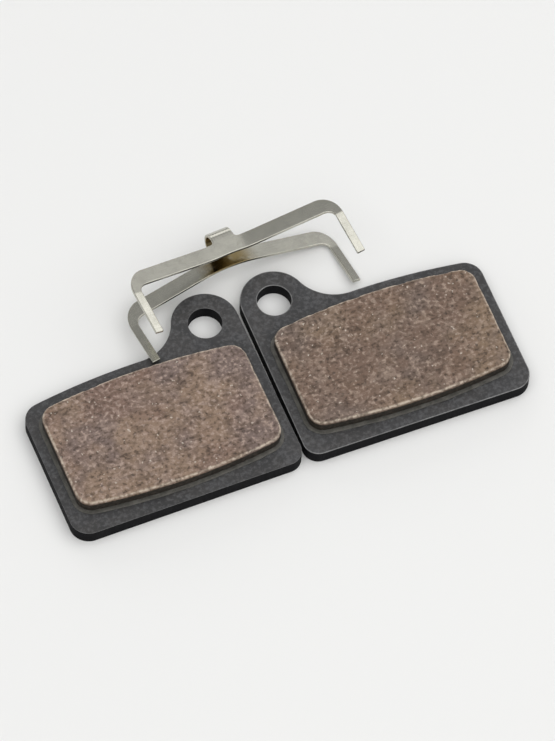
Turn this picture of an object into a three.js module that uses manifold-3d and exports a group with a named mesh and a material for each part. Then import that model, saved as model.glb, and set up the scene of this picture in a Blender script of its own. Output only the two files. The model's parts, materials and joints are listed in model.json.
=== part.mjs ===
// A set of two disc brake pads for a bicycle caliper and their return spring, laid out on a flat
// surface: the pads side by side with their friction faces up and their pin tabs together, and the
// spring behind them, with the tip of one leg on the left plate.
//
// Millimetres, +Z up. X runs along the pads, Y from the pads to the spring. The origin is on the
// surface, at the middle of the set's box.

import * as THREE from 'three';
import Module from 'manifold-3d';
import { mergeVertices } from 'three/addons/utils/BufferGeometryUtils.js';

const wasm = await Module();
wasm.setup();

// Backing plate
const PLATE_LENGTH = 30;
const PLATE_HEIGHT = 20.2;         // at the middle of its crowned top edge
const PLATE_THICKNESS = 2;
const INNER_CORNER_RADIUS = 2;     // bottom corner under the tab
const OUTER_CORNER_RADIUS = 2.4;   // the two corners at the other end
const PAD_GAP = 0.3;               // between the two pads

// Pin tab
const PIN_HOLE_RADIUS = 2.15;
const PIN_HOLE_RISE = 2.1;         // hole centre above the middle of the top edge
const TAB_WALL = 2.1;              // round the hole, flush with the plate's inner edge
const TAB_FILLET_RADIUS = 5.7;     // from the tab down to the crowned edge

// Friction block
const SIDE_MARGIN = 1.65;          // plate left bare at each end
const EDGE_MARGIN = 2;             // plate left bare above and below, at the middle
const CROWN_RADIUS = 85;           // of the block's top and bottom edges
const BLOCK_CORNER_RADIUS = 2;
const PAD_THICKNESS = 4;           // plate, bond layer and block together

// Bond layer, squeezed out a little all round the block
const BOND_THICKNESS = 0.15;
const BOND_OVERHANG = 0.45;

// Lugs of friction compound, pressed through the plate to key the block to it
const LUG_RADIUS = 2.2;
const LUG_CLEARANCE = 0.05;
const LUG_SPACING = 12;
const LUG_RECESS = 0.15;           // from the plate's back face

// Return spring: one strip, bent into two mirrored leaves
const STRIP_THICKNESS = 0.4;
const BAR_WIDTH = 2.1;
const LEG_WIDTH = 1.05;
const LEG_CLEARANCE = 0.1;         // from each leg to the end of the friction blocks it straddles
const LEG_REACH = 9.7;             // from the bar's back edge to a leg's tip
const LEAF_CORNER_RADIUS = 2.1;    // centre line of the strip, from bar to leg
const BAR_ARCH = THREE.MathUtils.degToRad(3.5);  // each half bar leans towards the legs
const BOW_ANGLE = THREE.MathUtils.degToRad(11);  // each half bar leans away from the other leaf
const BOW_BEND = 2;                // length over which the bar bends to that angle
const LEG_DROOP = THREE.MathUtils.degToRad(5);   // each leg leans back towards the other leaf
const FOLD_WIDTH = 2.9;            // of the strip where it folds from leaf to leaf
const FOLD_SETBACK = 0.5;          // flat run from the bar's back edge to the fold
const FOLD_RADIUS = 1.55;          // strip's mid-surface
const FOLD_CUT = 0.3;              // gap at the middle of the fold, where it flexes

// How the set lies
const LEFT_PAD_TURN = THREE.MathUtils.degToRad(1);
const SPRING_TURN = THREE.MathUtils.degToRad(6);
const SPRING_LEAN = THREE.MathUtils.degToRad(1);  // legs up, fold down
const SPRING_SHIFT = 0.7;          // fold to the right of the gap between the pads
const TIP_CLEARANCE = 0.3;         // under the leg tip that lies on the left backing plate
const TIP_SETBACK = 0.3;           // from that tip to the left bond layer

// Facets of each round stretch
const ARC_STEPS = 16;
const HOLE_STEPS = 40;
const BAR_STEPS = 12;
const CORNER_STEPS = 12;

const ROLL_HALVINGS = 30;          // of the range in which the spring's roll is looked for
const MOST_ROLL = Math.PI / 6;

const blockLength = PLATE_LENGTH - 2 * SIDE_MARGIN;
const blockHeight = PLATE_HEIGHT - 2 * EDGE_MARGIN;
const bondTop = PLATE_THICKNESS + BOND_THICKNESS;
const tabRadius = PIN_HOLE_RADIUS + TAB_WALL;
const plateCrownRadius = CROWN_RADIUS + EDGE_MARGIN;

// ---- Shapes -------------------------------------------------------------------------------------

// Rounds the corner between a straight end and a crowned edge. The crown's centre is at the origin
// and the end is at x = reach. Gives the corner arc's centre and its angle on the crown.
function crownCorner(crownRadius, reach, cornerRadius) {
  const x = reach - cornerRadius;
  const y = Math.sqrt((crownRadius - cornerRadius) ** 2 - x ** 2);
  return { x, y, angle: Math.atan2(y, x) };
}

// The friction block seen from above, grown by a margin all round, with its centre at the origin:
// straight ends, crowned top and bottom edges and rounded corners.
function blockShape(margin) {
  const crownRadius = CROWN_RADIUS + margin;
  const cornerRadius = BLOCK_CORNER_RADIUS + margin;
  const corner = crownCorner(crownRadius, blockLength / 2 + margin, cornerRadius);
  const drop = CROWN_RADIUS - blockHeight / 2;   // from the block's centre to each crown's centre
  const rise = corner.y - drop;
  const shape = new THREE.Shape();
  shape.absarc(corner.x, rise, cornerRadius, 0, corner.angle);
  shape.absarc(0, -drop, crownRadius, corner.angle, Math.PI - corner.angle);
  shape.absarc(-corner.x, rise, cornerRadius, Math.PI - corner.angle, Math.PI);
  shape.absarc(-corner.x, -rise, cornerRadius, Math.PI, Math.PI + corner.angle);
  shape.absarc(0, drop, crownRadius, Math.PI + corner.angle, 2 * Math.PI - corner.angle);
  shape.absarc(corner.x, -rise, cornerRadius, 2 * Math.PI - corner.angle, 2 * Math.PI);
  return shape;
}

// Centre of the arc that joins the outsides of two circles.
function filletCentre(a, radiusA, b, radiusB, fillet) {
  const towards = b.clone().sub(a);
  const span = towards.length();
  const fromA = radiusA + fillet;
  const fromB = radiusB + fillet;
  const along = (fromA ** 2 - fromB ** 2 + span ** 2) / (2 * span);
  const across = Math.sqrt(fromA ** 2 - along ** 2);
  towards.normalize();
  const sideways = new THREE.Vector2(-towards.y, towards.x);
  return a.clone().addScaledVector(towards, along).addScaledVector(sideways, across);
}

function angleFrom(centre, point) {
  return Math.atan2(point.y - centre.y, point.x - centre.x);
}

function roundHole(x, y, radius) {
  const points = new THREE.EllipseCurve(x, y, radius, radius, 0, 2 * Math.PI, true).getPoints(HOLE_STEPS);
  return new THREE.Path(points.slice(0, -1));
}

// The backing plate's outline, with its inner edge on x = 0 and its bottom edge on y = 0.
function plateShape() {
  const crown = new THREE.Vector2(PLATE_LENGTH / 2, PLATE_HEIGHT - plateCrownRadius);
  const pin = new THREE.Vector2(tabRadius, PLATE_HEIGHT + PIN_HOLE_RISE);
  const outer = crownCorner(plateCrownRadius, PLATE_LENGTH / 2, OUTER_CORNER_RADIUS);
  const fillet = filletCentre(pin, tabRadius, crown, plateCrownRadius, TAB_FILLET_RADIUS);
  const filletStart = angleFrom(fillet, crown);
  const inner = INNER_CORNER_RADIUS;
  const round = OUTER_CORNER_RADIUS;

  const shape = new THREE.Shape();
  shape.absarc(inner, inner, inner, Math.PI, 1.5 * Math.PI);
  shape.absarc(PLATE_LENGTH - round, round, round, -Math.PI / 2, 0);
  shape.absarc(crown.x + outer.x, crown.y + outer.y, round, 0, outer.angle);
  shape.absarc(crown.x, crown.y, plateCrownRadius, outer.angle, angleFrom(crown, fillet));
  shape.absarc(fillet.x, fillet.y, TAB_FILLET_RADIUS, filletStart, angleFrom(fillet, pin), true);
  shape.absarc(pin.x, pin.y, tabRadius, angleFrom(pin, fillet), Math.PI);

  shape.holes.push(roundHole(pin.x, pin.y, PIN_HOLE_RADIUS));
  for (const x of lugPlaces()) {
    shape.holes.push(roundHole(x, PLATE_HEIGHT / 2, LUG_RADIUS + LUG_CLEARANCE));
  }
  return shape;
}

// Distances of the two lugs from the plate's inner edge.
function lugPlaces() {
  return [-1, 1].map((side) => PLATE_LENGTH / 2 + side * LUG_SPACING / 2);
}

// ---- Solids -------------------------------------------------------------------------------------

function extruded(shape, bottom, top) {
  const geometry = new THREE.ExtrudeGeometry(shape, {
    depth: top - bottom,
    bevelEnabled: false,
    curveSegments: ARC_STEPS,
  });
  return geometry.translate(0, 0, bottom);
}

// A closed mesh as a solid, with the vertices that its faces share merged.
function toManifold(geometry) {
  const bare = geometry.index ? geometry.toNonIndexed() : geometry.clone();
  bare.deleteAttribute('normal');
  bare.deleteAttribute('uv');
  const merged = mergeVertices(bare, 1e-4);
  return new wasm.Manifold(new wasm.Mesh({
    numProp: 3,
    vertProperties: merged.attributes.position.array,
    triVerts: new Uint32Array(merged.index.array),
  }));
}

function toGeometry(manifold) {
  const mesh = manifold.getMesh();
  const geometry = new THREE.BufferGeometry();
  geometry.setAttribute('position', new THREE.BufferAttribute(mesh.vertProperties, 3));
  geometry.setIndex(new THREE.BufferAttribute(mesh.triVerts, 1));
  const flat = geometry.toNonIndexed();
  flat.computeVertexNormals();
  return flat;
}

// Joins closed meshes that overlap into one solid.
function joined(geometries) {
  return toGeometry(geometries.map(toManifold).reduce((whole, piece) => whole.add(piece)));
}

function backingPlate() {
  return extruded(plateShape(), 0, PLATE_THICKNESS);
}

function bondLayer() {
  const shape = blockShape(BOND_OVERHANG);
  for (const x of lugPlaces()) {
    shape.holes.push(roundHole(x - PLATE_LENGTH / 2, 0, LUG_RADIUS + LUG_CLEARANCE));
  }
  return extruded(shape, PLATE_THICKNESS, bondTop).translate(PLATE_LENGTH / 2, PLATE_HEIGHT / 2, 0);
}

function frictionBlock() {
  const slab = extruded(blockShape(0), bondTop, PAD_THICKNESS)
    .translate(PLATE_LENGTH / 2, PLATE_HEIGHT / 2, 0);
  const overlap = (PAD_THICKNESS - bondTop) / 2;
  const length = bondTop + overlap - LUG_RECESS;
  const lugs = lugPlaces().map((x) => new THREE.CylinderGeometry(LUG_RADIUS, LUG_RADIUS, length, HOLE_STEPS)
    .rotateX(Math.PI / 2)
    .translate(x, PLATE_HEIGHT / 2, LUG_RECESS + length / 2));
  return joined([slab, ...lugs]);
}

// ---- Return spring ------------------------------------------------------------------------------
// In the spring's own frame x runs along the leaves, y from the legs' tips to the fold, and z from
// the lower leaf to the upper one. The middle of each bar is at x = 0, y = 0.

const legX = blockLength / 2 + LEG_CLEARANCE + LEG_WIDTH / 2;
const barEndX = legX - LEAF_CORNER_RADIUS * (1 - Math.sin(BAR_ARCH));
const legStartY = -Math.tan(BAR_ARCH) * barEndX - LEAF_CORNER_RADIUS * Math.cos(BAR_ARCH);
const legTipY = BAR_WIDTH / 2 - LEG_REACH;

// Height of the upper leaf's mid-surface: flat at the fold, bending away from the lower leaf on each
// side of it, and drooping back along the legs.
function leafHeight(x, y) {
  const run = Math.max(0, Math.abs(x) - FOLD_WIDTH / 2);
  const bent = run < BOW_BEND ? run ** 2 / (2 * BOW_BEND) : run - BOW_BEND / 2;
  const drooped = Math.max(0, legStartY - y);
  return FOLD_RADIUS + Math.tan(BOW_ANGLE) * bent - Math.tan(LEG_DROOP) * drooped;
}

// The strip's centre line from the middle of the bar to one leg's tip. Each station has a point, the
// direction across the strip and the strip's width there.
function leafStations() {
  const stations = [];
  for (let i = 0; i < BAR_STEPS; i += 1) {
    const x = barEndX * i / BAR_STEPS;
    const across = Math.PI / 2 - (i === 0 ? 0 : BAR_ARCH);
    stations.push({ x, y: -Math.tan(BAR_ARCH) * x, across, width: BAR_WIDTH });
  }
  for (let i = 0; i <= CORNER_STEPS; i += 1) {
    const share = i / CORNER_STEPS;
    const across = (Math.PI / 2 - BAR_ARCH) * (1 - share);
    stations.push({
      x: legX - LEAF_CORNER_RADIUS * (1 - Math.cos(across)),
      y: legStartY + LEAF_CORNER_RADIUS * Math.sin(across),
      across,
      width: THREE.MathUtils.lerp(BAR_WIDTH, LEG_WIDTH, share),
    });
  }
  stations.push({ x: legX, y: legTipY, across: 0, width: LEG_WIDTH });
  return stations;
}

// The four corners of the strip's section at a station, anticlockwise seen along the strip.
function sectionCorners({ x, y, across, width }) {
  return [[-1, -1], [1, -1], [1, 1], [-1, 1]].flatMap(([side, face]) => {
    const cornerX = x + side * Math.cos(across) * width / 2;
    const cornerY = y + side * Math.sin(across) * width / 2;
    return [cornerX, cornerY, leafHeight(cornerX, cornerY) + face * STRIP_THICKNESS / 2];
  });
}

// The upper leaf, from one leg's tip through the bar to the other leg's tip.
function leafGeometry() {
  const half = leafStations();
  const mirrored = half.slice(1).reverse()
    .map((station) => ({ ...station, x: -station.x, across: Math.PI - station.across }));
  const stations = [...mirrored, ...half];
  const faces = [];
  const addQuad = (a, b, c, d) => faces.push(a, b, c, a, c, d);
  for (let start = 0; start < 4 * (stations.length - 1); start += 4) {
    for (let corner = 0; corner < 4; corner += 1) {
      const next = (corner + 1) % 4;
      addQuad(start + corner, start + next, start + 4 + next, start + 4 + corner);
    }
  }
  const last = 4 * (stations.length - 1);
  addQuad(3, 2, 1, 0);
  addQuad(last, last + 1, last + 2, last + 3);
  const geometry = new THREE.BufferGeometry();
  geometry.setAttribute('position', new THREE.Float32BufferAttribute(stations.flatMap(sectionCorners), 3));
  geometry.setIndex(faces);
  return geometry;
}

// The upper half of the fold: a flat run from under the bar, then a quarter turn down to the cut.
function foldGeometry() {
  const inside = FOLD_RADIUS - STRIP_THICKNESS / 2;
  const outside = FOLD_RADIUS + STRIP_THICKNESS / 2;
  const bendY = BAR_WIDTH / 2 + FOLD_SETBACK;
  const profile = new THREE.Shape();
  profile.moveTo(0, inside);
  profile.absarc(bendY, 0, inside, Math.PI / 2, Math.asin(FOLD_CUT / 2 / inside), true);
  profile.absarc(bendY, 0, outside, Math.asin(FOLD_CUT / 2 / outside), Math.PI / 2);
  profile.lineTo(0, outside);
  const fold = new THREE.ExtrudeGeometry(profile, {
    depth: FOLD_WIDTH,
    bevelEnabled: false,
    curveSegments: ARC_STEPS,
  });
  // The profile's x and y are the spring's y and z.
  const turn = new THREE.Matrix4().makeBasis(
    new THREE.Vector3(0, 1, 0),
    new THREE.Vector3(0, 0, 1),
    new THREE.Vector3(1, 0, 0),
  );
  return fold.translate(0, 0, -FOLD_WIDTH / 2).applyMatrix4(turn);
}

function springHalf() {
  return joined([leafGeometry(), foldGeometry()]);
}

// ---- Assembly -----------------------------------------------------------------------------------

const FINISHES = {
  blackSteel: { color: 0x2b2c2e, roughness: 0.55, metalness: 0.2 },
  adhesive: { color: 0x2e2a24, roughness: 0.7, metalness: 0 },
  compound: { color: 0x7d6a5e, roughness: 0.9, metalness: 0 },
  springSteel: { color: 0xb9b8ae, roughness: 0.25, metalness: 1 },
};

function named(name, geometry, finish) {
  const mesh = new THREE.Mesh(geometry, new THREE.MeshStandardMaterial(FINISHES[finish]));
  mesh.name = name;
  return mesh;
}

// One pad, with its inner edge half a gap from x = 0. The left pad mirrors the right one.
function pad(name, side, turn) {
  const group = new THREE.Group();
  group.add(named(`${name}_backing_plate`, backingPlate(), 'blackSteel'));
  group.add(named(`${name}_bond_layer`, bondLayer(), 'adhesive'));
  group.add(named(`${name}_friction_block`, frictionBlock(), 'compound'));
  group.position.x = side * PAD_GAP / 2;
  group.rotation.z = turn;
  group.scale.x = side;
  return group;
}

// Turns the spring and rolls its left end up, then sets its lowest point on the surface. Gives the
// underside of the lower leaf's left tip.
function laySpring(spring, lower, roll) {
  spring.rotation.set(-SPRING_LEAN, roll, SPRING_TURN, 'ZYX');
  spring.position.setZ(0);
  spring.updateMatrixWorld(true);
  spring.position.setZ(-new THREE.Box3().setFromObject(lower, true).min.z);
  spring.updateMatrixWorld(true);
  const tip = new THREE.Vector3(-legX, legTipY, -leafHeight(legX, legTipY) - STRIP_THICKNESS / 2);
  return spring.localToWorld(tip);
}

// The spring stands on the right end of its lower leaf, with that leaf's left tip on the left plate.
function returnSpring() {
  const upper = named('spring_upper_leaf', springHalf(), 'springSteel');
  const lower = named('spring_lower_leaf', springHalf(), 'springSteel');
  lower.scale.z = -1;
  const spring = new THREE.Group();
  spring.add(upper, lower);
  let flat = 0;
  let steep = MOST_ROLL;
  for (let i = 0; i < ROLL_HALVINGS; i += 1) {
    const roll = (flat + steep) / 2;
    if (laySpring(spring, lower, roll).z < PLATE_THICKNESS + TIP_CLEARANCE) flat = roll;
    else steep = roll;
  }
  const tip = laySpring(spring, lower, steep);
  const bondTopY = PLATE_HEIGHT - EDGE_MARGIN + BOND_OVERHANG;
  spring.position.setX(SPRING_SHIFT);
  spring.position.setY(bondTopY + TIP_SETBACK - tip.y);
  return spring;
}

const set = new THREE.Group();
set.add(pad('left', -1, LEFT_PAD_TURN), pad('right', 1, 0), returnSpring());

// The origin goes to the middle of the set's box.
set.updateMatrixWorld(true);
const box = new THREE.Box3().setFromObject(set, true);
set.position.set(-(box.min.x + box.max.x) / 2, -(box.min.y + box.max.y) / 2, 0);

export default set;
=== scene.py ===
"""Looks for two disc brake pads and the return spring that works between them.

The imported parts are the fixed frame. Shapes are worked in millimetres, and scaled to metres when a
piece is finished.
"""

import json
import math

import bmesh
import bpy
from bpy.props import FloatProperty, FloatVectorProperty, PointerProperty
from mathutils import Matrix, Vector, kdtree, noise


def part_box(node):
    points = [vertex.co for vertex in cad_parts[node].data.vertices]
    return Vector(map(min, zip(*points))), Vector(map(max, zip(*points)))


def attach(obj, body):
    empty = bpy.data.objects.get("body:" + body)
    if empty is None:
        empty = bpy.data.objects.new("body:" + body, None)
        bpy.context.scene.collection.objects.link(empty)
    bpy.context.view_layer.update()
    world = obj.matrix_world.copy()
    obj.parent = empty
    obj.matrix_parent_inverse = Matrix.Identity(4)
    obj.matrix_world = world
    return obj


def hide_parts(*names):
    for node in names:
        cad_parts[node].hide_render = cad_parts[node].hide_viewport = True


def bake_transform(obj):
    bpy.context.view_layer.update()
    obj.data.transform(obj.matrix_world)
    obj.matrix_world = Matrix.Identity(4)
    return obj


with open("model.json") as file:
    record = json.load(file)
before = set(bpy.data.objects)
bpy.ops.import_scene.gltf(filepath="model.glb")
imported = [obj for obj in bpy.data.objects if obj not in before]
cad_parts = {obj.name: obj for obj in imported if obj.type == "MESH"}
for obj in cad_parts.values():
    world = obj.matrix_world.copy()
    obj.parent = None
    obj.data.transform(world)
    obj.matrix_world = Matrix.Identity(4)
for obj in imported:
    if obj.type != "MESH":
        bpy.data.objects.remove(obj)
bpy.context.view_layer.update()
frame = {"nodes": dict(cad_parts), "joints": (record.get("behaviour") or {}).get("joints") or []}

bl_info = {
    "name": "Brake pad set",
    "version": (1, 0, 0),
    "blender": (4, 5, 0),
    "location": "3D View > Sidebar > Brake Pads",
    "description": "Makes two disc brake pads, their return spring and a plain stage",
    "category": "Object",
}

MM = 0.001                       # one millimetre in metres
SIDES = ("left", "right")

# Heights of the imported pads' faces, in millimetres
PLATE_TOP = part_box("right_backing_plate")[1].z / MM
BLOCK_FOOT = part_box("right_bond_layer")[1].z / MM
BLOCK_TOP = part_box("right_friction_block")[1].z / MM


# ---- Settings ----------------------------------------------------------------------------------

def length_setting(name, description, default):
    """A size that a user can change, in metres, given here in millimetres."""
    return FloatProperty(
        name=name, description=description, default=default * MM, min=0.0, precision=5,
        subtype="DISTANCE", unit="LENGTH",
    )


def colour_setting(name, description, default):
    return FloatVectorProperty(
        name=name, description=description, default=default, min=0.0, max=1.0, size=3,
        subtype="COLOR",
    )


def share_setting(name, description, default):
    return FloatProperty(
        name=name, description=description, default=default, min=0.0, max=1.0, subtype="FACTOR",
    )


def angle_setting(name, description, default):
    """An angle that a user can change, given here in degrees."""
    return FloatProperty(
        name=name, description=description, default=math.radians(default), subtype="ANGLE",
        unit="ROTATION",
    )


def radiance_setting(name, description, default):
    """How bright a lamp's face is, whatever its size."""
    return FloatProperty(name=name, description=description, default=default, min=0.0)


class BRAKEPADS_PG_plate(bpy.types.PropertyGroup):
    """Backing plates: punched steel with a black coat"""

    top_edge: length_setting("Top edge", "Radius of the edge that the punch rolled over", 0.20)
    bottom_edge: length_setting("Bottom edge", "Radius of the deburred edge", 0.12)
    coat: colour_setting("Coat", "Colour of the black coat", (0.0235, 0.0235, 0.0248))
    # Darker than the coat: painted shade on the plates' walls and pin holes
    wall: colour_setting("Wall", "Colour of the punched walls", (0.006, 0.006, 0.007))
    # Lighter edges: partly real rubbing, partly a painted highlight along every rounded edge
    rubbed: colour_setting("Rubbed edge", "Colour of the rubbed edges", (0.20, 0.20, 0.20))
    roughness: share_setting("Roughness", "How matt the coat is", 0.46)


class BRAKEPADS_PG_bond(bpy.types.PropertyGroup):
    """Bond layers: adhesive squeezed out round the blocks, under the coat"""

    waviness: length_setting("Waviness", "How far the squeezed edge wanders", 0.09)
    edge: length_setting("Edge", "Radius of the squeezed edge", 0.08)
    # Lighter than the plates' coat: painted light against the shade at the squeezed edge
    coat: colour_setting("Coat", "Colour of the coat over the adhesive", (0.062, 0.059, 0.051))


class BRAKEPADS_PG_friction(bpy.types.PropertyGroup):
    """Friction blocks: moulded compound with a ground face"""

    grain: length_setting("Grain", "Spacing of the mesh that carries the grain", 0.16)
    rim: length_setting("Rim", "Radius of the worn rim", 0.24)
    relief: length_setting("Relief", "Depth of the grain on the ground face", 0.05)
    left: colour_setting("Left compound", "Colour of the left block", (0.204, 0.153, 0.127))
    right: colour_setting("Right compound", "Colour of the right block", (0.180, 0.136, 0.107))
    worn: colour_setting("Worn rim", "Colour of the worn rim", (0.60, 0.51, 0.41))
    wall: colour_setting("Wall", "Colour of the coat on the block's walls", (0.026, 0.022, 0.016))


class BRAKEPADS_PG_spring(bpy.types.PropertyGroup):
    """Return spring: one folded strip of spring steel"""

    edge: length_setting("Edge", "Radius of the strip's edges", 0.09)
    steel: colour_setting("Steel", "Colour of the bright strip", (0.545, 0.535, 0.472))
    # Dark amber inside the fold: partly temper tint, partly painted shade between the leaves
    tint: colour_setting("Tint", "Colour of the tempered fold", (0.27, 0.21, 0.105))
    roughness: share_setting("Roughness", "How matt the strip is", 0.19)


class BRAKEPADS_PG_stage(bpy.types.PropertyGroup):
    """Camera, lamps and floor"""

    azimuth: angle_setting("Azimuth", "Where the camera stands round the set", -24.88)
    elevation: angle_setting("Elevation", "How high the camera stands over the set", 59.73)
    tilt: angle_setting("Tilt", "How far the camera leans to one side", 3.71)
    distance: length_setting("Distance", "From the camera to the set", 648.4)
    lens: FloatProperty(
        name="Lens", description="Focal length in millimetres", default=257.0, min=1.0,
    )
    world: share_setting("World", "Strength of the light from all round", 0.36)
    overhead: radiance_setting("Overhead", "Radiance of the lamp overhead", 1.36)
    side: radiance_setting("Side", "Radiance of the lamp at the right", 0.34)
    back: radiance_setting("Back", "Radiance of the lamp behind", 1.2)
    floor: colour_setting("Floor", "Colour of the floor", (0.82, 0.82, 0.81))


class BRAKEPADS_PG_set(bpy.types.PropertyGroup):
    """All settings of the brake pad set"""

    plate: PointerProperty(type=BRAKEPADS_PG_plate)
    bond: PointerProperty(type=BRAKEPADS_PG_bond)
    friction: PointerProperty(type=BRAKEPADS_PG_friction)
    spring: PointerProperty(type=BRAKEPADS_PG_spring)
    stage: PointerProperty(type=BRAKEPADS_PG_stage)


# ---- Shader nodes ------------------------------------------------------------------------------

DRAW_STEP = 0.02                 # how much of the draw a fleck takes to come up
FLECK_CORE = 0.6                 # share of a fleck's radius that is in full colour


class Link:
    """An output of a shader node. Operators on one that carries a number add Math nodes."""

    def __init__(self, shader, socket):
        self.shader = shader
        self.socket = socket

    def math(self, operation, *values):
        inputs = {index: value for index, value in enumerate(values)}
        return self.shader.node("ShaderNodeMath", {"operation": operation}, inputs)

    def __add__(self, other):
        return self.math("ADD", self, other)

    __radd__ = __add__

    def __sub__(self, other):
        return self.math("SUBTRACT", self, other)

    def __rsub__(self, other):
        return self.math("SUBTRACT", other, self)

    def __mul__(self, other):
        return self.math("MULTIPLY", self, other)

    __rmul__ = __mul__


class Shader:
    """A material, and the nodes that give its finish."""

    def __init__(self, name):
        self.material = bpy.data.materials.new(name)
        self.material.use_nodes = True
        self.tree = self.material.node_tree
        self.tree.nodes.clear()

    def node(self, kind, settings=None, inputs=None, output=0):
        """Adds a node. Its inputs are set or linked by place, name or identifier."""
        made = self.tree.nodes.new(kind)
        for key, value in (settings or {}).items():
            setattr(made, key, value)
        for key, value in (inputs or {}).items():
            if isinstance(key, int):
                socket = made.inputs[key]
            else:
                socket = next(s for s in made.inputs if key in (s.identifier, s.name))
            if isinstance(value, Link):
                self.tree.links.new(value.socket, socket)
            else:
                socket.default_value = value
        if isinstance(output, str):
            return Link(self, next(s for s in made.outputs if output in (s.identifier, s.name)))
        return Link(self, made.outputs[output]) if made.outputs else None

    def millimetres(self):
        """The piece's own coordinates, in millimetres."""
        place = self.node("ShaderNodeTexCoord", output="Object")
        return self.node(
            "ShaderNodeVectorMath", {"operation": "SCALE"}, {"Vector": place, "Scale": 1 / MM},
        )

    def attribute(self, name):
        """A number that the mesh carries."""
        return self.node("ShaderNodeAttribute", {"attribute_name": name}, None, "Fac")

    def part(self, vector, axis):
        return self.node("ShaderNodeSeparateXYZ", None, {"Vector": vector}, axis)

    def stretched(self, place, scale, turn=0.0):
        """The place scaled along each axis, and turned round the vertical."""
        inputs = {"Vector": place, "Scale": scale, "Rotation": (0.0, 0.0, turn)}
        return self.node("ShaderNodeMapping", None, inputs)

    def moved(self, place, move):
        return self.node("ShaderNodeMapping", None, {"Vector": place, "Location": move})

    def torn(self, place, scale, reach):
        """The place, moved at random by up to that reach, so that a pattern on it looks ragged."""
        wander = self.node(
            "ShaderNodeTexNoise", None, {"Vector": place, "Scale": scale, "Detail": 2.0}, "Color",
        )
        return self.node(
            "ShaderNodeVectorMath", {"operation": "MULTIPLY_ADD"},
            {0: wander, 1: (reach, reach, reach), 2: place},
        )

    def noise(self, place, scale, detail=3.0, roughness=0.55):
        return self.node(
            "ShaderNodeTexNoise", None,
            {"Vector": place, "Scale": scale, "Detail": detail, "Roughness": roughness}, "Fac",
        )

    def between(self, value, low, high):
        """Rises smoothly from 0 at low to 1 at high."""
        return self.node(
            "ShaderNodeMapRange", {"interpolation_type": "SMOOTHSTEP"},
            {"Value": value, "From Min": low, "From Max": high},
        )

    def mix(self, share, first, second):
        """Goes from the first colour to the second as share goes from 0 to 1."""
        inputs = {"Factor_Float": share, "A_Color": opaque(first), "B_Color": opaque(second)}
        return self.node("ShaderNodeMix", {"data_type": "RGBA"}, inputs, "Result_Color")

    def flecks(self, place, scale, rarity, radius, move=(0.0, 0.0, 0.0)):
        """Small spots of random size, one in some of the cells of a random pattern."""
        inputs = {"Vector": self.moved(place, move), "Scale": scale}
        away = self.node("ShaderNodeTexVoronoi", None, inputs, "Distance")
        lot = self.node("ShaderNodeTexVoronoi", None, inputs, "Color")
        draw = self.node("ShaderNodeSeparateColor", None, {"Color": lot}, "Red")
        chosen = self.between(draw, rarity, rarity + DRAW_STEP)
        return chosen * self.between(away, radius, radius * FLECK_CORE)

    def surface(self, sockets, bump=None, depth=0.0):
        """Ends the material in one Principled shader."""
        if bump is not None:
            inputs = {"Height": bump, "Distance": depth}
            sockets["Normal"] = self.node("ShaderNodeBump", None, inputs)
        principled = self.node("ShaderNodeBsdfPrincipled", None, sockets)
        self.node("ShaderNodeOutputMaterial", None, {"Surface": principled})
        return self.material


def opaque(colour):
    return colour if isinstance(colour, Link) else (*colour, 1.0)


def shade(colour, share):
    """The colour, darker or lighter."""
    return tuple(part * share for part in colour)


def tint(colour, shares):
    """The colour with its red, green and blue each darker or lighter by its own share."""
    return tuple(part * share for part, share in zip(colour, shares))


# ---- Finishes ----------------------------------------------------------------------------------

DUST = (0.20, 0.20, 0.19)
BROWNED = (1.00, 0.90, 0.80)     # shares of red, green and blue where the coat is warmer
MINERAL = (0.62, 0.55, 0.47)     # the brightest flecks in the compound

# Shares of the compound's red, green and blue, for the tones of its grains
DEEP = (0.34, 0.305, 0.27)
LIGHT = (2.00, 2.02, 2.04)
OCHRE = (1.25, 1.155, 0.985)
MAUVE = (0.855, 0.835, 0.885)
RUDDY = (0.97, 0.825, 0.765)
GRINDING = -0.75                 # direction of the scratches on the ground face, in radians

# Along the strip's blank, in millimetres: where the lines that the bending tool pressed in begin
# and end, each over a short way, and their spacing
PRESS_BEGINS = (1.0, 1.5)
PRESS_ENDS = (7.0, 6.5)
RIDGE = 0.36


def black_coat(name, look):
    """Satin black coat with a fine peel, dust, and edges lightened partly by rubbing and partly by a
    painted highlight.
    """
    shader = Shader(name)
    place = shader.millimetres()
    cloud = shader.noise(place, 0.22, 4.0, 0.6)
    tone = shader.noise(place, 0.35, 2.0, 0.5)
    grain = shader.noise(place, 2.3, 3.0, 0.6)
    edge = shader.attribute("edge")
    dust = shader.flecks(place, 2.1, rarity=0.90, radius=0.13)
    rub = edge * shader.between(shader.noise(place, 1.3, 4.0, 0.7), 0.34, 0.66)

    dull = tuple(1.6 * part + 0.006 for part in look.coat)
    colour = shader.mix(shader.between(cloud, 0.36, 0.64), shade(look.coat, 0.75), dull)
    for pattern, low, high, strength, second in (
        (tone, 0.40, 0.62, 0.50, tint(dull, BROWNED)),
        (grain, 0.46, 0.68, 0.65, shade(dull, 1.9)),
        (grain, 0.56, 0.34, 0.65, shade(dull, 0.4)),
    ):
        colour = shader.mix(shader.between(pattern, low, high) * strength, colour, second)
    colour = shader.mix(dust * 0.45, colour, DUST)
    # Every rounded face is lightened as a painted highlight; the noisy share of it is rubbing
    colour = shader.mix(0.45 * edge + 0.55 * rub, colour, look.rubbed)
    rough = look.roughness + 0.20 * (cloud - 0.5) + 0.16 * (grain - 0.5) + 0.2 * dust - 0.12 * edge
    return shader.surface(
        {"Base Color": colour, "Roughness": rough, "Specular IOR Level": 0.5},
        bump=grain * 0.7 + cloud * 0.6 + dust * 0.4, depth=0.02 * MM,
    )


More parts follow.
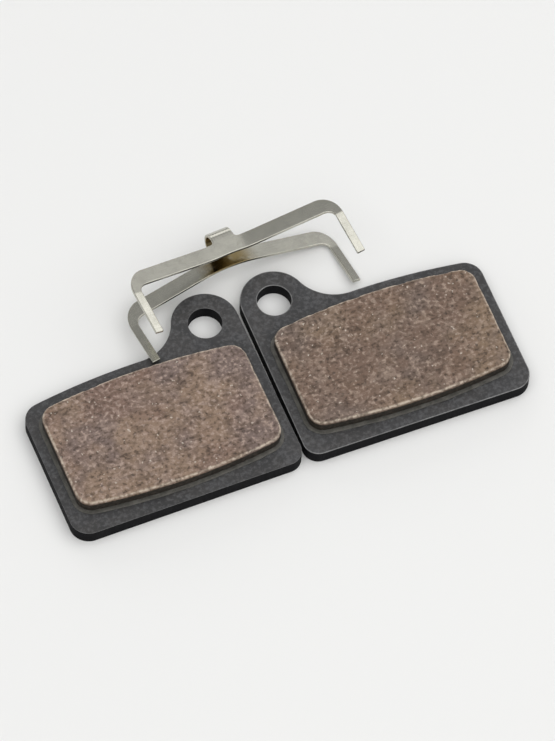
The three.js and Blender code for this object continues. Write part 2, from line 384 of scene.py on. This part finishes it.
def punched_wall(name, look):
    """Matt black walls, darker than the coat as painted shade, with faint upright marks from the
    punch.
    """
    shader = Shader(name)
    place = shader.millimetres()
    marks = shader.noise(shader.stretched(place, (1.0, 1.0, 0.12)), 5.0, 3.0, 0.6)
    blotch = shader.noise(place, 0.8, 3.0, 0.6)
    streaks = shader.between(marks, 0.45, 0.75) * 0.6
    colour = shader.mix(streaks, look.wall, shade(look.wall, 2.2))
    return shader.surface(
        {"Base Color": colour, "Roughness": 0.55 + 0.25 * blotch, "Specular IOR Level": 0.06},
        bump=marks + 0.5 * blotch, depth=0.02 * MM,
    )


def bonded_coat(name, look):
    """The same coat where it runs over the adhesive: lumpy, and a little lighter as painted light
    against the shade at its squeezed edge.
    """
    shader = Shader(name)
    place = shader.millimetres()
    lumps = shader.noise(place, 0.9, 4.0, 0.6)
    grain = shader.noise(place, 4.5, 2.0, 0.6)
    colour = shader.mix(shader.between(lumps, 0.35, 0.7), look.coat, shade(look.coat, 1.9))
    return shader.surface(
        {"Base Color": colour, "Roughness": 0.36 + 0.3 * lumps},
        bump=lumps + grain * 0.35, depth=0.03 * MM,
    )


def compound(name, look, colour):
    """Ground friction compound: mottled grains, pale and dark flecks, worn rim and coated walls."""
    shader = Shader(name)
    place = shader.millimetres()
    patches = shader.noise(place, 0.13, 2.0, 0.5)
    hue = shader.noise(shader.moved(place, (31.0, 8.0, 0.0)), 0.15, 3.0, 0.55)
    mottle = shader.noise(place, 0.60, 4.0, 0.62)
    sand = shader.noise(place, 2.1, 2.0, 0.5)
    scratches = shader.stretched(place, (0.5, 2.2, 1.0), turn=GRINDING)
    ground = shader.noise(scratches, 1.1, 2.0, 0.5)
    torn = shader.torn(place, 2.6, reach=0.55)
    cell = shader.node("ShaderNodeTexVoronoi", None, {"Vector": torn, "Scale": 1.9}, "Color")
    lot = shader.node("ShaderNodeSeparateColor", None, {"Color": cell}, "Green")
    pale = shader.flecks(torn, 1.3, rarity=0.80, radius=0.26)
    bright = shader.flecks(torn, 2.0, rarity=0.87, radius=0.25, move=(7.0, 3.0, 0.0))
    dark = shader.flecks(torn, 1.5, rarity=0.80, radius=0.30, move=(2.0, 9.0, 0.0))

    deep, light = tint(colour, DEEP), tint(colour, LIGHT)
    face = shader.mix(shader.between(hue, 0.38, 0.62), tint(colour, MAUVE), tint(colour, OCHRE))
    for pattern, low, high, strength, second in (
        (patches, 0.46, 0.66, 0.80, tint(colour, RUDDY)),
        (mottle, 0.48, 0.28, 0.45, deep),
        (mottle, 0.54, 0.74, 0.40, light),
        (ground, 0.46, 0.30, 0.45, deep),
        (ground, 0.56, 0.72, 0.30, light),
        (sand, 0.48, 0.27, 0.80, deep),
        (sand, 0.53, 0.73, 0.85, light),
        (lot, 0.20, 0.00, 0.30, deep),
        (lot, 0.80, 1.00, 0.30, light),
    ):
        face = shader.mix(shader.between(pattern, low, high) * strength, face, second)
    for spots, strength, second in (
        (dark, 0.55, shade(colour, 0.28)), (pale, 0.50, light), (bright, 0.70, MINERAL),
    ):
        face = shader.mix(spots * strength, face, second)

    rim = shader.attribute("rim")
    wall = shader.attribute("wall")
    ragged = wall + 0.35 * (mottle - 0.5) + 0.2 * (sand - 0.5)
    rubbed = rim * (0.35 + 0.65 * shader.between(sand + 0.5 * (mottle - 0.5), 0.40, 0.58))
    face = shader.mix(rubbed * 0.85, face, look.worn)
    walls = shader.mix(shader.between(sand, 0.40, 0.70) * 0.45, look.wall, shade(colour, 0.40))
    tone = shader.mix(shader.between(ragged, 0.30, 0.62), face, walls)
    rough = 0.86 - 0.12 * sand - 0.25 * bright
    return shader.surface(
        {"Base Color": tone, "Roughness": rough, "Specular IOR Level": 0.35},
        bump=sand + 0.7 * mottle + 0.5 * lot - 0.9 * dark + 0.5 * pale, depth=0.09 * MM,
    )


def strip_steel(name, look):
    """Rolled spring steel, with lines along the roll, and a dark amber inside the fold that is
    partly temper tint and partly painted shade between the leaves.
    """
    shader = Shader(name)
    blank = shader.node("ShaderNodeTexCoord", output="UV")
    lines = shader.noise(shader.stretched(blank, (0.35, 9.0, 1.0)), 1.0, 3.0, 0.6)
    stains = shader.noise(blank, 0.55, 4.0, 0.6)
    fold = shader.attribute("fold")
    across, along = shader.part(blank, "X"), shader.part(blank, "Y")
    pressed = shader.between(along, *PRESS_BEGINS) * shader.between(along, *PRESS_ENDS)
    ridges = pressed * (0.5 + 0.5 * across.math("SINE", across * (2 * math.pi / RIDGE)))
    stained = shader.between(stains, 0.35, 0.70) * 0.6
    lined = shader.between(lines, 0.50, 0.75) * 0.35
    colour = shader.mix(stained, look.steel, shade(look.steel, 0.78))
    colour = shader.mix(lined, colour, shade(look.steel, 0.6))
    colour = shader.mix(ridges * 0.35, colour, shade(look.steel, 0.7))
    # Dark amber on the fold's inner side: partly temper tint, partly painted shade
    colour = shader.mix(fold * shader.between(stains, 0.20, 0.50), colour, look.tint)
    rough = look.roughness + 0.10 * (stains - 0.5) + 0.12 * (lines - 0.5)
    return shader.surface(
        {"Base Color": colour, "Metallic": 1.0, "Roughness": rough},
        bump=lines + 0.4 * stains + 2.0 * ridges, depth=0.003 * MM,
    )


def floor_paint(name, colour):
    shader = Shader(name)
    place = shader.node("ShaderNodeTexCoord", output="Object")
    cloud = shader.noise(place, 9.0, 2.0, 0.5)
    tone = shader.mix(cloud * 0.25, colour, shade(colour, 0.97))
    return shader.surface({"Base Color": tone, "Roughness": 0.9, "Specular IOR Level": 0.2})


# ---- Shape tools -------------------------------------------------------------------------------

SHARP = math.radians(40)         # a sharp edge turns by more than this
FLAT = math.radians(0.2)         # a flat area's faces turn by less than this
CLOSE = 0.001                    # millimetres within which two places count as one


def node_shape(name):
    """A CAD node's surface in millimetres, with shared corners merged and flat areas joined."""
    shape = bmesh.new()
    shape.from_mesh(frame["nodes"][name].data)
    bmesh.ops.scale(shape, vec=(1 / MM,) * 3, verts=shape.verts)
    bmesh.ops.remove_doubles(shape, verts=shape.verts, dist=CLOSE)
    bmesh.ops.dissolve_limit(shape, angle_limit=FLAT, verts=shape.verts, edges=shape.edges)
    return shape


def sharp_edges(shape, test=lambda place: True):
    """The edges at which the surface turns sharply, where both ends pass the test."""
    return [
        edge for edge in shape.edges
        if edge.is_manifold and edge.calc_face_angle() > SHARP
        and all(test(vert.co) for vert in edge.verts)
    ]


def rise(edge):
    """How much higher one end of an edge is than the other."""
    return abs(edge.verts[0].co.z - edge.verts[1].co.z)


def round_edges(shape, edges, radius, segments):
    """Rounds the edges, and gives the faces that doing so adds."""
    made = bmesh.ops.bevel(
        shape, geom=edges, offset=radius, offset_type="OFFSET", segments=segments, profile=0.5,
        affect="EDGES", clamp_overlap=True, material=-1,
    )
    return made["faces"]


def split_walls(shape, longest):
    """Halves the upright faces of a level slab until no edge of theirs is longer than that."""
    while True:
        long = [
            face for face in shape.faces
            if abs(face.normal.z) < 0.5 and max(edge.calc_length() for edge in face.edges) > longest
        ]
        if not long:
            return
        level = [edge for face in long for edge in face.edges if rise(edge) < CLOSE]
        bmesh.ops.subdivide_edges(shape, edges=level, cuts=1, use_grid_fill=True)
        shape.normal_update()


def as_mesh(shape, name):
    """A mesh of the shape, which is used up."""
    mesh = bpy.data.meshes.new(name)
    shape.to_mesh(mesh)
    shape.free()
    return mesh


def after_modifier(mesh, kind, settings):
    """A new mesh that the modifier makes of this one, which is used up."""
    holder = bpy.data.objects.new("holder", mesh)
    bpy.context.scene.collection.objects.link(holder)
    modifier = holder.modifiers.new(kind, kind)
    for key, value in settings.items():
        setattr(modifier, key, value)
    graph = bpy.context.evaluated_depsgraph_get()
    result = bpy.data.meshes.new_from_object(holder.evaluated_get(graph))
    bpy.data.objects.remove(holder)
    bpy.data.meshes.remove(mesh)
    return result


def modified(shape, kind, **settings):
    """The shape after a modifier of that kind."""
    mesh = after_modifier(as_mesh(shape, "source"), kind, settings)
    result = bmesh.new()
    result.from_mesh(mesh)
    bpy.data.meshes.remove(mesh)
    return result


def smooth_step(value, low, high):
    """Rises smoothly from 0 at low to 1 at high."""
    share = min(1.0, max(0.0, (value - low) / (high - low)))
    return share * share * (3 - 2 * share)


def finished(shape, name, material, even=False):
    """Turns a shape in millimetres into a shown object in metres.

    Even shading keeps large flat faces flat in the light, up to their rounded edges. Its weighted
    normals come out right only for faces that aren't tiny, so it is done in millimetres.
    """
    mesh = as_mesh(shape, "source")
    mesh.shade_smooth()
    mesh.set_sharp_from_angle(angle=SHARP)
    if even:
        mesh = after_modifier(mesh, "WEIGHTED_NORMAL", {"keep_sharp": True})
    mesh.name = name
    mesh.transform(Matrix.Scale(MM, 4))
    mesh.materials.append(material)
    piece = bpy.data.objects.new(name, mesh)
    bpy.context.scene.collection.objects.link(piece)
    return piece


# ---- Pads --------------------------------------------------------------------------------------

PLATE_WALL = 0.3                 # most that a plate's wall faces up or down, where 1 is straight
BOND_STEP = 0.6                  # longest edge of a bond layer's walls, in mm
BOND_WAVES = 0.45                # waves along a squeezed edge, per mm
LUG_REACH = (10.0, 4.0)          # from a bond layer's middle to past its lug holes, in mm
WORN_WIDTH = (0.30, 0.10)        # distances from a block's outline between which its wear sets in
CHIP_DEPTH = 0.12                # depth of the deepest chips out of a block's rim, in mm


def plate_shape(side, look):
    """A punched plate: rolled top edges, deburred bottom edges and both round the pin hole too."""
    shape = node_shape(f"{side}_backing_plate")
    mark = shape.loops.layers.float.new("edge")
    top = sharp_edges(shape, lambda place: place.z > PLATE_TOP / 2)
    rounded = round_edges(shape, top, look.top_edge / MM, segments=4)
    bottom = sharp_edges(shape, lambda place: place.z < CLOSE)
    rounded += round_edges(shape, bottom, look.bottom_edge / MM, segments=2)
    # Marks the rounded faces, which the coat lightens with rubbing and a painted highlight
    for face in rounded:
        if face.is_valid:
            for loop in face.loops:
                loop[mark] = 1.0
    shape.normal_update()
    # Upright faces take the walls' material, whose dark colour is painted shade
    for face in shape.faces:
        face.material_index = int(abs(face.normal.z) < PLATE_WALL)
    return shape


def bond_shape(side, look):
    """A bond layer whose squeezed outer edge wanders."""
    name = f"{side}_bond_layer"
    shape = node_shape(name)
    low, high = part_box(name)
    centre = (low + high) / 2 / MM
    split_walls(shape, BOND_STEP)
    rim = {
        vert for edge in sharp_edges(shape) for vert in edge.verts
        if any(abs(vert.co[axis] - centre[axis]) > LUG_REACH[axis] for axis in (0, 1))
    }
    for vert in rim:
        away = (vert.co - centre).to_2d().normalized()
        wave = Vector((vert.co.x * BOND_WAVES, vert.co.y * BOND_WAVES, 3.0))
        vert.co.xy += away * (noise.noise(wave) * look.waviness / MM)
    edges = sharp_edges(shape, lambda place: place.z > BLOCK_FOOT - 0.01)
    outer = [edge for edge in edges if all(vert in rim for vert in edge.verts)]
    round_edges(shape, outer, look.edge / MM, segments=2)
    return shape


def near_top(place, deep, shallow):
    """Rises from 0 at one depth in mm under a block's ground face to 1 at a smaller one."""
    return smooth_step(place.z, BLOCK_TOP - deep, BLOCK_TOP - shallow)


def grain_depth(place):
    """Depth of the compound's grain at a place, as a share of its relief."""
    coarse = noise.fractal(place * 1.1, 0.7, 2.0, 3)
    fine = noise.noise(place * 3.1)
    pit = smooth_step(noise.noise(place * 1.5 + Vector((9, 4, 1))), 0.28, 0.55)
    return 0.5 + 0.35 * coarse + 0.45 * fine + 0.9 * pit


def chip_depth(place):
    """Depth that is chipped away at a place on the rim, in millimetres."""
    return CHIP_DEPTH * smooth_step(noise.noise(place * 0.9 + Vector((2, 7, 5))), 0.05, 0.5)


def from_above(place):
    """The place, put down on the floor."""
    return place.to_2d().to_3d()


def outline_tree(shape):
    """The upright upper walls of a block seen from above, to measure distances from."""
    walls = [
        from_above(vert.co) for vert in shape.verts
        if BLOCK_TOP - 1.2 < vert.co.z and vert.normal.z < 0.3
    ]
    tree = kdtree.KDTree(len(walls))
    for index, place in enumerate(walls):
        tree.insert(place, index)
    tree.balance()
    return tree


def friction_shape(side, look):
    """A friction block: rim rounded by wear, face roughened by its grain, walls slightly uneven."""
    shape = node_shape(f"{side}_friction_block")
    top = sharp_edges(shape, lambda place: place.z > BLOCK_TOP - 0.01)
    round_edges(shape, top, look.rim / MM, segments=3)
    shape = modified(shape, "REMESH", mode="VOXEL", voxel_size=look.grain / MM)
    shape.normal_update()
    rim_mark = shape.verts.layers.float.new("rim")
    wall_mark = shape.verts.layers.float.new("wall")
    outline = outline_tree(shape)
    for vert in shape.verts:
        place = vert.co.copy()
        if place.z < BLOCK_FOOT + 0.02:
            vert[wall_mark] = 1.0
            continue
        face = smooth_step(vert.normal.z, 0.75, 0.98) * near_top(place, 0.75, 0.10)
        rim = (1 - face) * near_top(place, 0.42, 0.12)
        inset = outline.find(from_above(place))[2]
        vert[rim_mark] = smooth_step(inset, *WORN_WIDTH) * near_top(place, 0.34, 0.16)
        vert[wall_mark] = 1 - near_top(place, 0.95, 0.20)
        depth = look.relief / MM * grain_depth(place)
        vert.co -= vert.normal * (
            face * depth
            + rim * (0.5 * depth + chip_depth(place))
            + (1 - face) * (1 - rim) * 0.25 * depth
        )
    return shape


# ---- Return spring -----------------------------------------------------------------------------
# In the spring's own frame x runs along the leaves, y from the legs' tips to the fold, and z from
# the lower leaf to the upper one. Lengths are in millimetres.

STRIP = 0.4
BAR_WIDTH = 2.1
LEG_WIDTH = 1.05
LEG_X = 13.975                   # centre line of each leg
LEG_TIP_Y = -8.65
CORNER = 2.1                     # radius of the centre line from bar to leg
ARCH = math.radians(3.5)         # each half bar leans towards the legs
BOW = math.radians(11)           # each half bar leans away from the other leaf
BOW_BEND = 2.0                   # length over which the bar bends to that angle
DROOP = math.radians(5)          # each leg leans back towards the other leaf
HALF_FOLD = 1.45                 # half the width of the strip at the fold
FOLD_Y = 1.55                    # axis that the strip is folded round
FOLD_RADIUS = 1.55
FOLD_FILLET = 0.35               # in the corners between bar and fold
LEAN = math.radians(-1)          # legs up, fold down
TINT_AND_SHADE_ENDS = 4.5                  # distance to each side at which the fold's temper tint and painted shade end
TINT_AND_SHADE_FULL = 1.6                  # distance within which it is full
BAR_END_X = LEG_X - CORNER * (1 - math.sin(ARCH))
LEG_START_Y = -math.tan(ARCH) * BAR_END_X - CORNER * math.cos(ARCH)

# How many lengths each stretch of the strip is made of
MIDDLE_STEPS = 3
BAR_STEPS = 20
CORNER_STEPS = 16
LEG_STEPS = 6
FOLD_STEPS = 10                  # in half the fold


def spring_frame():
    """Where the spring's own frame lies: its hinge is at the far end of the fold."""
    hinge = next(joint for joint in frame["joints"] if joint["name"] == "spring_squeeze")
    axis = Vector(hinge["axis"]).normalized()
    turn = Matrix.Rotation(math.atan2(axis.y, axis.x), 4, "Z")
    roll = Matrix.Rotation(math.asin(-axis.z), 4, "Y")
    lean = Matrix.Rotation(LEAN, 4, "X")
    place = Matrix.Translation(Vector(hinge["pos_m"]) / MM)
    return place @ turn @ roll @ lean @ Matrix.Translation((0, -FOLD_Y - FOLD_RADIUS, 0))


def leaf_height(x, y):
    """Height of the upper leaf's middle surface over the spring's middle plane."""
    run = max(0.0, abs(x) - HALF_FOLD)
    bent = run ** 2 / (2 * BOW_BEND) if run < BOW_BEND else run - BOW_BEND / 2
    drooped = max(0.0, LEG_START_Y - y)
    return FOLD_RADIUS + math.tan(BOW) * bent - math.tan(DROOP) * drooped


def bar_station(x):
    """A place on the bar's centre line, the direction across the strip there, and its width."""
    slope = math.tan(ARCH) * min(1.0, x / HALF_FOLD)
    y = -math.tan(ARCH) * (x if x > HALF_FOLD else (HALF_FOLD + x * x / HALF_FOLD) / 2)
    return Vector((x, y)), math.pi / 2 - math.atan(slope), BAR_WIDTH


def corner_station(share):
    across = (math.pi / 2 - ARCH) * (1 - share)
    centre = Vector((LEG_X - CORNER, LEG_START_Y))
    place = centre + CORNER * Vector((math.cos(across), math.sin(across)))
    return place, across, BAR_WIDTH + (LEG_WIDTH - BAR_WIDTH) * smooth_step(share, 0, 1)


def leg_station(share):
    return Vector((LEG_X, LEG_START_Y + (LEG_TIP_Y - LEG_START_Y) * share)), 0.0, LEG_WIDTH


def half_leaf_stations():
    """Stations from the middle of the bar to a leg's tip."""
    bar = BAR_END_X - HALF_FOLD
    return [
        *(bar_station(HALF_FOLD * step / MIDDLE_STEPS) for step in range(MIDDLE_STEPS + 1)),
        *(bar_station(HALF_FOLD + bar * step / BAR_STEPS) for step in range(1, BAR_STEPS)),
        *(corner_station(step / CORNER_STEPS) for step in range(CORNER_STEPS + 1)),
        *(leg_station(step / LEG_STEPS) for step in range(1, LEG_STEPS + 1)),
    ]


def strip_ends(station, mirror):
    """The inner and the outer end of the line across the strip at a station."""
    middle, across, width = station
    reach = Vector((math.cos(across), math.sin(across))) * width / 2
    return [
        Vector((mirror * place.x, place.y, leaf_height(place.x, place.y)))
        for place in (middle - reach, middle + reach)
    ]


def extended(shape, ends, places):
    """Draws the edge between two corners out to two new places, and gives the corners there."""
    made = bmesh.ops.extrude_edge_only(shape, edges=[shape.edges.get(ends)])["geom"]
    fresh = [item for item in made if isinstance(item, bmesh.types.BMVert)]
    corners = []
    for end, place in zip(ends, places):
        corner = next(vert for vert in fresh if shape.edges.get((end, vert)))
        corner.co = place
        corners.append(corner)
    return corners


def leaf_sheet(shape):
    """Lays the upper leaf as a sheet, from the middle of its bar to each leg's tip."""
    stations = half_leaf_stations()
    middle = [shape.verts.new(place) for place in strip_ends(stations[0], 1)]
    shape.edges.new(middle)
    for mirror in (1, -1):
        ends = middle
        for station in stations[1:]:
            ends = extended(shape, ends, strip_ends(station, mirror))


def fold_sheet(shape):
    """Draws the upper half of the fold out of the middle of the bar's outer edge."""
    shape.edges.ensure_lookup_table()
    root = [
        edge for edge in shape.edges
        if edge.is_boundary
        and all(abs(vert.co.x) < HALF_FOLD + 0.2 and vert.co.y > 0 for vert in edge.verts)
    ]
    made = bmesh.ops.extrude_edge_only(shape, edges=root)["geom"]
    for vert in made:
        if isinstance(vert, bmesh.types.BMVert):
            vert.co.x = max(-HALF_FOLD, min(HALF_FOLD, vert.co.x))
            vert.co.y = FOLD_Y
            vert.co.z = FOLD_RADIUS
    end = [
        edge for edge in made
        if isinstance(edge, bmesh.types.BMEdge)
        and all(abs(vert.co.y - FOLD_Y) < CLOSE for vert in edge.verts)
    ]
    bmesh.ops.spin(
        shape, geom=end, cent=(0, FOLD_Y, 0), axis=(1, 0, 0), angle=-math.pi / 2,
        steps=FOLD_STEPS, use_merge=False, use_duplicate=False,
    )


def blank_place(place):
    """Where a point of the spring lay on the flat blank, before it was bent."""
    if place.y > FOLD_Y:
        along = FOLD_Y + FOLD_RADIUS * math.atan2(place.y - FOLD_Y, place.z)
    elif place.z > 0:
        along = place.y
    else:
        along = 2 * FOLD_Y + math.pi * FOLD_RADIUS - place.y
    return place.x, along


def inner_depth(place):
    """Rises from 0 on the strip's outer side to 1 on the side that the fold closes in."""
    if place.y < FOLD_Y:
        depth = leaf_height(place.x, place.y) - abs(place.z)
    else:
        depth = FOLD_RADIUS - math.hypot(place.y - FOLD_Y, place.z)
    return smooth_step(depth, 0.0, STRIP / 2 - 0.02)


def spring_shape(look):
    """The whole strip: two mirrored leaves and the fold between them, with rounded edges."""
    shape = bmesh.new()
    leaf_sheet(shape)
    fold_sheet(shape)
    geom = [*shape.verts, *shape.edges, *shape.faces]
    bmesh.ops.mirror(shape, geom=geom, matrix=Matrix.Identity(4), merge_dist=CLOSE, axis="Z")
    bmesh.ops.remove_doubles(shape, verts=shape.verts, dist=CLOSE)
    bmesh.ops.recalc_face_normals(shape, faces=shape.faces)
    shape = modified(shape, "SOLIDIFY", thickness=STRIP, offset=0.0, use_even_offset=True)
    inner = [
        edge for edge in sharp_edges(shape, lambda place: 0.5 < place.y < FOLD_Y - 0.2)
        if rise(edge) > STRIP / 2
    ]
    round_edges(shape, inner, FOLD_FILLET, segments=4)
    round_edges(shape, sharp_edges(shape), look.edge / MM, segments=3)
    blank = shape.loops.layers.uv.new("blank")
    fold = shape.verts.layers.float.new("fold")
    for face in shape.faces:
        for loop in face.loops:
            loop[blank].uv = blank_place(loop.vert.co)
    for vert in shape.verts:
        # Marks the inside of the fold for its temper tint and painted shade
        vert[fold] = inner_depth(vert.co) * smooth_step(abs(vert.co.x), TINT_AND_SHADE_ENDS, TINT_AND_SHADE_FULL)
    shape.transform(spring_frame())
    return shape


# ---- Operators ---------------------------------------------------------------------------------

class BRAKEPADS_OT_plates(bpy.types.Operator):
    """Make the two punched backing plates"""

    bl_idname = "brake_pads.plates"
    bl_label = "Backing Plates"

    def execute(self, context):
        look = context.scene.brake_pads.plate
        material = black_coat("black_coat", look)
        # The walls' material, darkened with painted shade
        walls = punched_wall("punched_wall", look)
        for side in SIDES:
            shape = plate_shape(side, look)
            piece = finished(shape, f"{side}_plate", material, even=True)
            piece.data.materials.append(walls)
            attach(piece, f"{side}_pad")
            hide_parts(f"{side}_backing_plate")
        return {"FINISHED"}


class BRAKEPADS_OT_bonds(bpy.types.Operator):
    """Make the bond layers that show round the blocks"""

    bl_idname = "brake_pads.bonds"
    bl_label = "Bond Layers"

    def execute(self, context):
        look = context.scene.brake_pads.bond
        material = bonded_coat("bonded_coat", look)
        for side in SIDES:
            shape = bond_shape(side, look)
            piece = finished(shape, f"{side}_bond", material, even=True)
            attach(piece, f"{side}_pad")
            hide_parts(f"{side}_bond_layer")
        return {"FINISHED"}


class BRAKEPADS_OT_blocks(bpy.types.Operator):
    """Make the two friction blocks"""

    bl_idname = "brake_pads.blocks"
    bl_label = "Friction Blocks"

    def execute(self, context):
        look = context.scene.brake_pads.friction
        for side in SIDES:
            material = compound(f"{side}_compound", look, tuple(getattr(look, side)))
            piece = finished(friction_shape(side, look), f"{side}_friction", material)
            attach(piece, f"{side}_pad")
            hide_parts(f"{side}_friction_block")
        return {"FINISHED"}


class BRAKEPADS_OT_spring(bpy.types.Operator):
    """Make the return spring"""

    bl_idname = "brake_pads.spring"
    bl_label = "Return Spring"

    def execute(self, context):
        look = context.scene.brake_pads.spring
        material = strip_steel("strip_steel", look)
        piece = finished(spring_shape(look), "return_spring", material, even=True)
        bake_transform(piece)
        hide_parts("spring_lower_leaf", "spring_upper_leaf")
        return {"FINISHED"}


class BRAKEPADS_OT_stage(bpy.types.Operator):
    """Set up the camera, the lamps and the floor"""

    bl_idname = "brake_pads.stage"
    bl_label = "Stage"

    def execute(self, context):
        look = context.scene.brake_pads.stage
        add_floor(look)
        add_camera(look)
        add_lamps(look)
        context.scene.view_settings.view_transform = "Standard"
        return {"FINISHED"}


# ---- Stage -------------------------------------------------------------------------------------

FLOOR_RADIUS = 3.0               # metres
FLOOR_DROP = 0.01                # millimetres under the set, so that no two faces coincide
AIM = (0.972, -3.737, 3.0)       # what the camera looks at, in millimetres
SIGHT = (0.01, 50.0)             # nearest and farthest that it sees, in metres

# Each lamp's name, place and size in metres, turn round the vertical, and lean from facing down
LAMPS = (
    ("overhead", (0.295, -0.486, 1.0), (2.2, 1.9), 16, 0),
    ("side", (0.80, 0.80, 1.0), (1.1, 0.6), 0, 0),
    ("back", (0.25, 1.4, 0.55), (1.6, 0.6), 0, -70),
)


def add_floor(look):
    shape = bmesh.new()
    bmesh.ops.create_circle(shape, cap_ends=True, radius=FLOOR_RADIUS, segments=96)
    mesh = as_mesh(shape, "floor")
    mesh.materials.append(floor_paint("floor_paint", tuple(look.floor)))
    floor = bpy.data.objects.new("floor", mesh)
    floor.location.z = -FLOOR_DROP * MM
    bpy.context.scene.collection.objects.link(floor)


def add_camera(look):
    scene = bpy.context.scene
    camera = bpy.data.objects.new("camera", bpy.data.cameras.new("camera"))
    scene.collection.objects.link(camera)
    scene.camera = camera
    flat = math.cos(look.elevation)
    back = Vector((
        math.sin(look.azimuth) * flat, -math.cos(look.azimuth) * flat, math.sin(look.elevation),
    ))
    camera.rotation_mode = "QUATERNION"
    camera.location = Vector(AIM) * MM + back * look.distance
    tilt = Matrix.Rotation(look.tilt, 4, "Z").to_quaternion()
    camera.rotation_quaternion = (-back).to_track_quat("-Z", "Y") @ tilt
    camera.data.lens = look.lens
    camera.data.clip_start, camera.data.clip_end = SIGHT


def add_lamp(name, place, size, radiance, turn, lean):
    """A rectangular lamp. Its angles are in degrees, and with both at 0 it faces down."""
    lamp = bpy.data.lights.new(name, "AREA")
    lamp.shape = "RECTANGLE"
    lamp.size, lamp.size_y = size
    lamp.energy = radiance * math.pi * size[0] * size[1]
    holder = bpy.data.objects.new(name, lamp)
    holder.location = place
    holder.rotation_euler = (math.radians(lean), 0.0, math.radians(turn))
    bpy.context.scene.collection.objects.link(holder)


def add_lamps(look):
    scene = bpy.context.scene
    scene.world = bpy.data.worlds.new("studio")
    scene.world.use_nodes = True
    background = next(n for n in scene.world.node_tree.nodes if n.type == "BACKGROUND")
    background.inputs["Color"].default_value = (1.0, 1.0, 1.0, 1.0)
    background.inputs["Strength"].default_value = look.world
    for name, place, size, turn, lean in LAMPS:
        add_lamp(name, place, size, getattr(look, name), turn, lean)


class BRAKEPADS_PT_panel(bpy.types.Panel):
    """Lists what the set is made of"""

    bl_idname = "BRAKEPADS_PT_panel"
    bl_label = "Brake Pad Set"
    bl_space_type = "VIEW_3D"
    bl_region_type = "UI"
    bl_category = "Brake Pads"

    def draw(self, context):
        for operator in OPERATORS:
            self.layout.operator(operator.bl_idname)


OPERATORS = (
    BRAKEPADS_OT_plates,
    BRAKEPADS_OT_bonds,
    BRAKEPADS_OT_blocks,
    BRAKEPADS_OT_spring,
    BRAKEPADS_OT_stage,
)

CLASSES = (
    BRAKEPADS_PG_plate,
    BRAKEPADS_PG_bond,
    BRAKEPADS_PG_friction,
    BRAKEPADS_PG_spring,
    BRAKEPADS_PG_stage,
    BRAKEPADS_PG_set,
    *OPERATORS,
    BRAKEPADS_PT_panel,
)


def register():
    for cls in CLASSES:
        bpy.utils.register_class(cls)
    bpy.types.Scene.brake_pads = PointerProperty(type=BRAKEPADS_PG_set)


def unregister():
    del bpy.types.Scene.brake_pads
    for cls in reversed(CLASSES):
        bpy.utils.unregister_class(cls)


def main():
    register()
    bpy.ops.brake_pads.plates()
    bpy.ops.brake_pads.bonds()
    bpy.ops.brake_pads.blocks()
    bpy.ops.brake_pads.spring()
    bpy.ops.brake_pads.stage()


if __name__ == "__main__":
    main()
